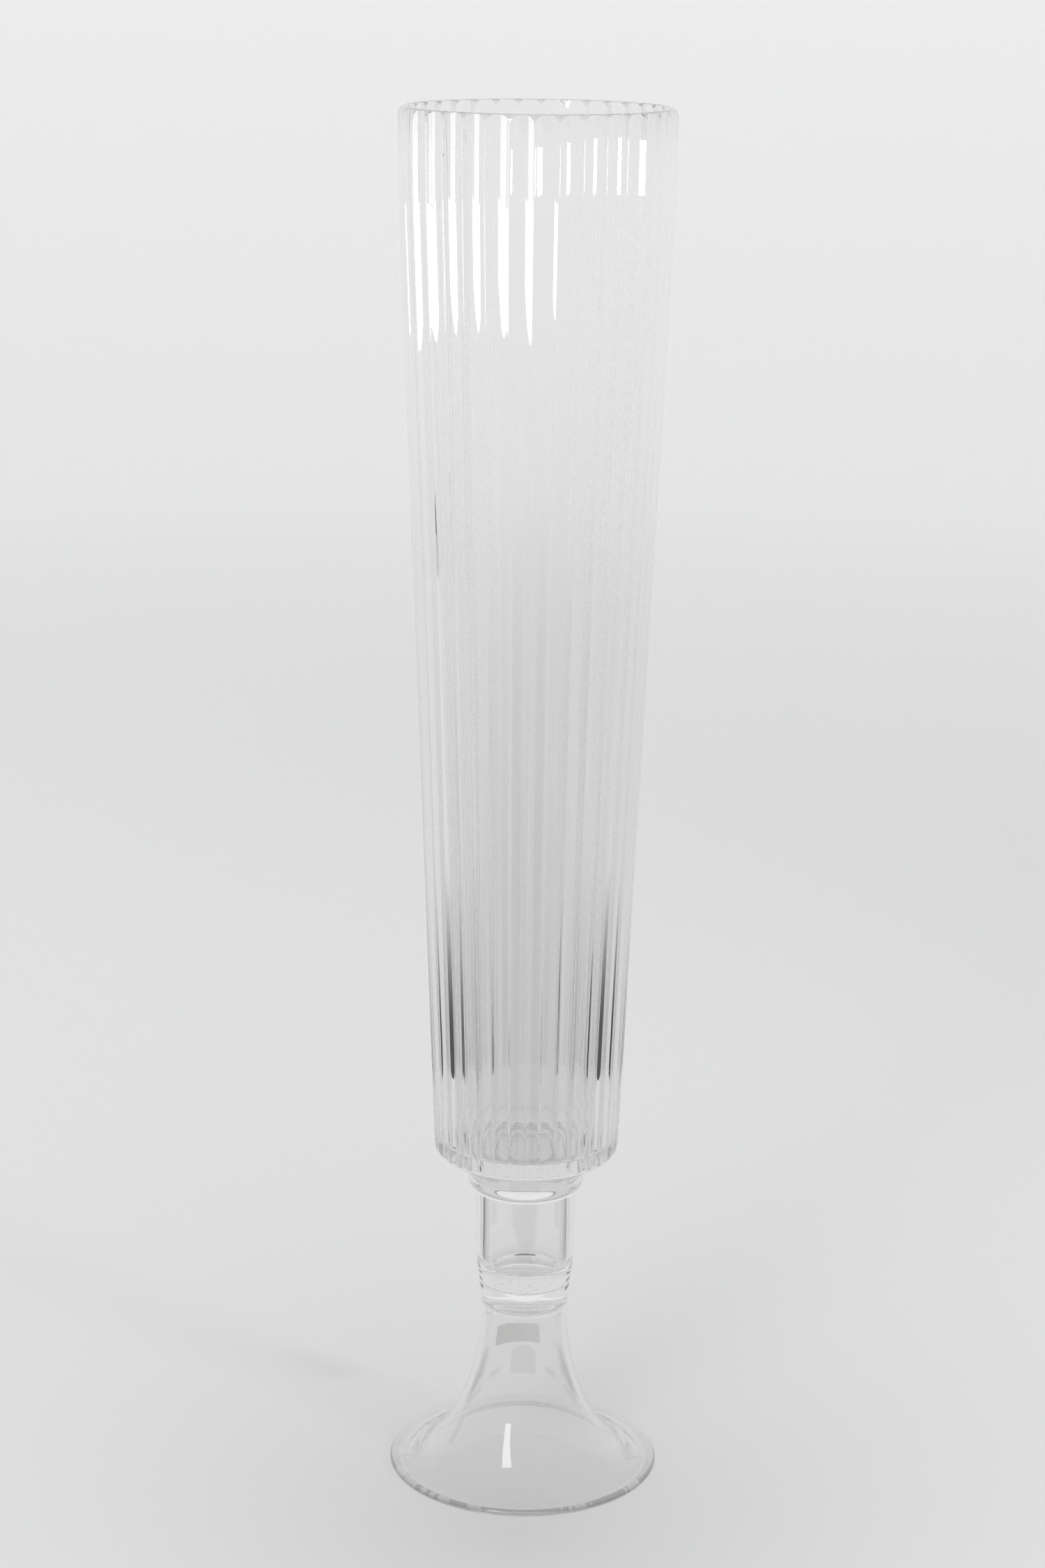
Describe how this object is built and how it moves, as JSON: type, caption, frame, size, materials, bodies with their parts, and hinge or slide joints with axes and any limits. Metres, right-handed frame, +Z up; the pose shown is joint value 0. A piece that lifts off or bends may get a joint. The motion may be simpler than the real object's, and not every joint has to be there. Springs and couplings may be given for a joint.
{
  "type": "flower vase",
  "caption": "Tall clear glass flower vase: tapered fluted bowl on a glass collar, a hollow stem cup and an open trumpet foot with a round brim.",
  "frame": {"origin": "middle of the ring under the foot that the vase rests on", "axes": "+Z up along the vase's axis, towards the rim; the label is on the +Y side; one flute ridge faces -Y"},
  "size_m": [0.1594, 0.1594, 0.8],
  "materials": {
    "foot_glass": "clear blown soda-lime glass, fire-polished",
    "stem_glass": "clear blown soda-lime glass, fire-polished",
    "collar_glass": "clear solid soda-lime glass, fire-polished",
    "bowl_glass": "clear mould-blown soda-lime glass with moulded flutes, fire-polished rim",
    "clear_cement": "clear cured acrylic glass cement with a few small bubbles",
    "label_paper": "matt uncoated paper, blank"
  },
  "bodies": {
    "root": {"trumpet_foot": "foot_glass", "cement_foot_stem": "clear_cement", "stem_cup": "stem_glass", "cement_stem_collar": "clear_cement", "collar_bead": "collar_glass", "cement_collar_bowl": "clear_cement", "fluted_bowl": "bowl_glass", "paper_label": "label_paper"}
  },
  "joints": []
}
